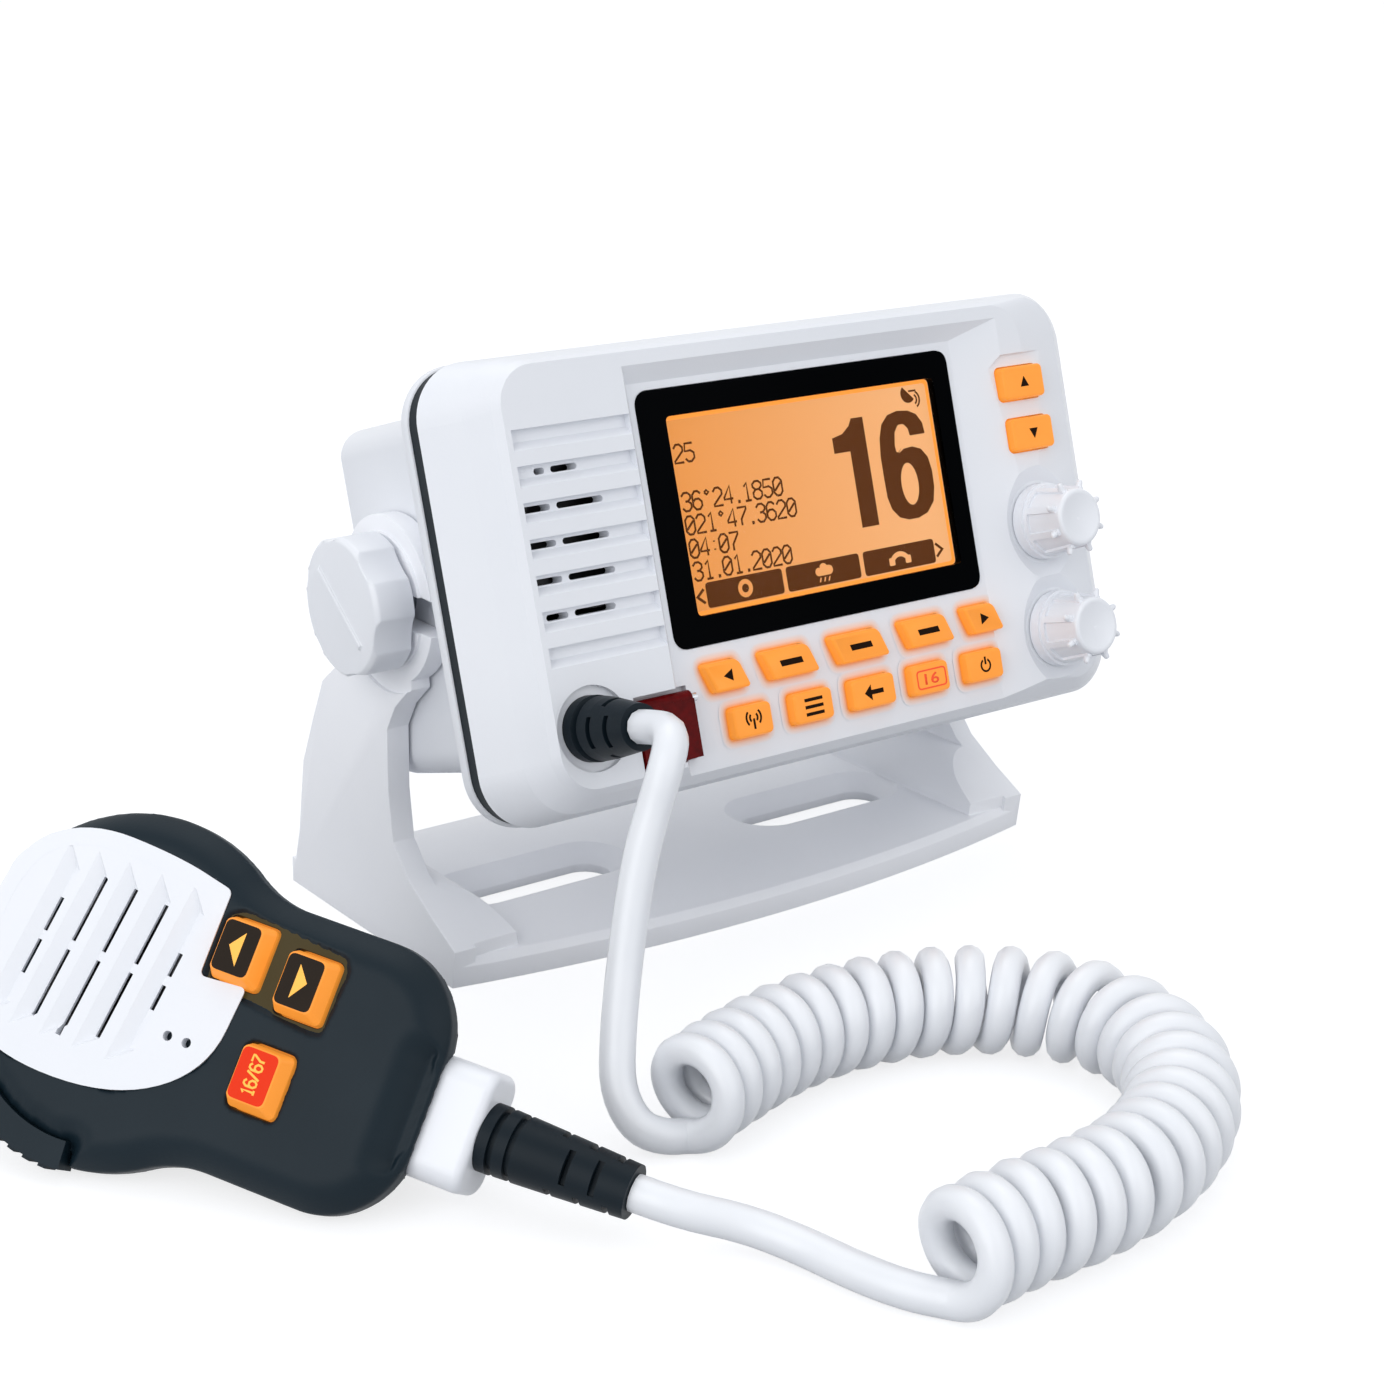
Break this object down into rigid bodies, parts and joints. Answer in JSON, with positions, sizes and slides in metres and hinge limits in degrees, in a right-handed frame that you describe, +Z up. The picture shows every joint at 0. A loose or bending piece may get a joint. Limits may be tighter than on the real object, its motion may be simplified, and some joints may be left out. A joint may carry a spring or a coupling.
{
  "type": "vhf marine radio",
  "caption": "Fixed-mount VHF marine radio on a tilting U-bracket, with display, backlit keys, knobs, distress flap, curly cord and hand microphone.",
  "frame": {"origin": "middle of the bracket's base at the surface it is screwed to, level with the middle of its two slots", "axes": "+X to the user's right, the front faces -Y, +Z up"},
  "size_m": [0.2805, 0.2311, 0.1317],
  "materials": {
    "white_plastic": "satin moulded ABS",
    "slate_rubber": "matt rubber",
    "slate_plastic": "fine textured",
    "cast_aluminium": "white painted die casting",
    "steel": "stainless",
    "nickel": "nickel plated",
    "window_glass": "gloss black",
    "lcd": "backlit",
    "black_parts": "matt",
    "circuit_board": "satin",
    "key_rubber": "translucent backlit",
    "red_key": "translucent",
    "red_lens": "clear red",
    "white_cord": "satin jacket"
  },
  "bodies": {
    "base": {"bracket": "white_plastic", "cord_drop": "white_cord", "cord_coil": "white_cord", "cord_tail": "white_cord", "mic_front_shell": "slate_plastic", "mic_rear_shell": "slate_plastic", "mic_speaker_panel": "white_plastic", "mic_speaker": "black_parts", "mic_board": "circuit_board", "mic_element": "black_parts", "mic_cord_block": "white_plastic", "mic_strain_relief": "slate_rubber", "mic_hanger_stud": "steel", "mic_screws": "steel"},
    "radio": {"front_case": "white_plastic", "case_gasket": "slate_rubber", "rear_housing": "white_plastic", "heat_sink": "cast_aluminium", "display_window": "window_glass", "lcd_panel": "lcd", "speaker": "black_parts", "main_board": "circuit_board", "keypad_board": "circuit_board", "squelch_encoder": "black_parts", "volume_encoder": "black_parts", "gland_boot": "slate_rubber", "gland_nut": "black_parts", "distress_hinge_pin": "steel", "antenna_socket": "nickel", "power_grommet": "slate_rubber", "accessory_socket": "black_parts", "case_screws": "steel"},
    "clamp_right": {"clamp_knob_right": "white_plastic", "clamp_stud_right": "steel"},
    "clamp_left": {"clamp_knob_left": "white_plastic", "clamp_stud_left": "steel"},
    "squelch_knob": {"squelch_knob": "white_plastic"},
    "volume_knob": {"volume_knob": "white_plastic"},
    "distress_cover": {"distress_cover": "red_lens"},
    "distress_button": {"distress_button": "red_key"},
    "mic_talk_bar": {"mic_talk_bar": "slate_plastic"},
    "key_left": {"key_left": "key_rubber"},
    "key_soft_1": {"key_soft_1": "key_rubber"},
    "key_soft_2": {"key_soft_2": "key_rubber"},
    "key_soft_3": {"key_soft_3": "key_rubber"},
    "key_right": {"key_right": "key_rubber"},
    "key_high_low": {"key_high_low": "key_rubber"},
    "key_menu": {"key_menu": "key_rubber"},
    "key_clear": {"key_clear": "key_rubber"},
    "key_sixteen": {"key_sixteen": "key_rubber"},
    "key_power": {"key_power": "key_rubber"},
    "key_up": {"key_up": "key_rubber"},
    "key_down": {"key_down": "key_rubber"},
    "mic_key_left": {"mic_key_left": "key_rubber"},
    "mic_key_right": {"mic_key_right": "key_rubber"},
    "mic_key_red": {"mic_key_red": "red_key"}
  },
  "joints": [
    {"name": "radio_tilt", "type": "hinge", "parent": "base", "child": "radio", "pos_m": [0, -0.0053, 0.0782], "axis": [1, 0, 0], "range_deg": [-40, 35], "deforming": ["cord_drop"]},
    {"name": "clamp_turn_right", "type": "hinge", "parent": "radio", "child": "clamp_right", "pos_m": [0.085, -0.0053, 0.0782], "axis": [1, 0, 0], "continuous": true},
    {"name": "clamp_turn_left", "type": "hinge", "parent": "radio", "child": "clamp_left", "pos_m": [-0.085, -0.0053, 0.0782], "axis": [1, 0, 0], "continuous": true},
    {"name": "squelch_turn", "type": "hinge", "parent": "radio", "child": "squelch_knob", "pos_m": [0.0624, -0.05138, 0.08449], "axis": [0, -0.9521, 0.3057], "range_deg": [-150, 150]},
    {"name": "volume_turn", "type": "hinge", "parent": "radio", "child": "volume_knob", "pos_m": [0.0624, -0.05881, 0.06135], "axis": [0, -0.9521, 0.3057], "range_deg": [-150, 150]},
    {"name": "key_left_press", "type": "slide", "parent": "radio", "child": "key_left", "axis": [0, 0.9521, -0.3057], "range_m": [0, 0.0012], "stiffness_N_per_m": 400, "springref_m": -0.0015},
    {"name": "key_soft_1_press", "type": "slide", "parent": "radio", "child": "key_soft_1", "axis": [0, 0.9521, -0.3057], "range_m": [0, 0.0012], "stiffness_N_per_m": 400, "springref_m": -0.0015},
    {"name": "key_soft_2_press", "type": "slide", "parent": "radio", "child": "key_soft_2", "axis": [0, 0.9521, -0.3057], "range_m": [0, 0.0012], "stiffness_N_per_m": 400, "springref_m": -0.0015},
    {"name": "key_soft_3_press", "type": "slide", "parent": "radio", "child": "key_soft_3", "axis": [0, 0.9521, -0.3057], "range_m": [0, 0.0012], "stiffness_N_per_m": 400, "springref_m": -0.0015},
    {"name": "key_right_press", "type": "slide", "parent": "radio", "child": "key_right", "axis": [0, 0.9521, -0.3057], "range_m": [0, 0.0012], "stiffness_N_per_m": 400, "springref_m": -0.0015},
    {"name": "key_high_low_press", "type": "slide", "parent": "radio", "child": "key_high_low", "axis": [0, 0.9521, -0.3057], "range_m": [0, 0.0012], "stiffness_N_per_m": 400, "springref_m": -0.0015},
    {"name": "key_menu_press", "type": "slide", "parent": "radio", "child": "key_menu", "axis": [0, 0.9521, -0.3057], "range_m": [0, 0.0012], "stiffness_N_per_m": 400, "springref_m": -0.0015},
    {"name": "key_clear_press", "type": "slide", "parent": "radio", "child": "key_clear", "axis": [0, 0.9521, -0.3057], "range_m": [0, 0.0012], "stiffness_N_per_m": 400, "springref_m": -0.0015},
    {"name": "key_sixteen_press", "type": "slide", "parent": "radio", "child": "key_sixteen", "axis": [0, 0.9521, -0.3057], "range_m": [0, 0.0012], "stiffness_N_per_m": 400, "springref_m": -0.0015},
    {"name": "key_power_press", "type": "slide", "parent": "radio", "child": "key_power", "axis": [0, 0.9521, -0.3057], "range_m": [0, 0.0012], "stiffness_N_per_m": 400, "springref_m": -0.0015},
    {"name": "key_up_press", "type": "slide", "parent": "radio", "child": "key_up", "axis": [0, 0.9521, -0.3057], "range_m": [0, 0.0012], "stiffness_N_per_m": 400, "springref_m": -0.0015},
    {"name": "key_down_press", "type": "slide", "parent": "radio", "child": "key_down", "axis": [0, 0.9521, -0.3057], "range_m": [0, 0.0012], "stiffness_N_per_m": 400, "springref_m": -0.0015},
    {"name": "distress_button_press", "type": "slide", "parent": "radio", "child": "distress_button", "axis": [0, 0.9521, -0.3057], "range_m": [0, 0.0012], "stiffness_N_per_m": 400, "springref_m": -0.0015},
    {"name": "distress_cover_lift", "type": "hinge", "parent": "radio", "child": "distress_cover", "pos_m": [-0.0475, -0.05634, 0.06381], "axis": [-1, 0, 0], "range_deg": [0, 95], "stiffness_Nm_per_rad": 0.004, "springref_deg": -20.05},
    {"name": "mic_key_left_press", "type": "slide", "parent": "base", "child": "mic_key_left", "axis": [0.6887, 0.4949, -0.5299], "range_m": [0, 0.001], "stiffness_N_per_m": 400, "springref_m": -0.0015},
    {"name": "mic_key_right_press", "type": "slide", "parent": "base", "child": "mic_key_right", "axis": [0.6887, 0.4949, -0.5299], "range_m": [0, 0.001], "stiffness_N_per_m": 400, "springref_m": -0.0015},
    {"name": "mic_key_red_press", "type": "slide", "parent": "base", "child": "mic_key_red", "axis": [0.6887, 0.4949, -0.5299], "range_m": [0, 0.001], "stiffness_N_per_m": 400, "springref_m": -0.0015},
    {"name": "mic_talk_press", "type": "slide", "parent": "base", "child": "mic_talk_bar", "axis": [0.526, 0.162, 0.8349], "range_m": [0, 0.0015], "stiffness_N_per_m": 900, "springref_m": -0.002}
  ]
}
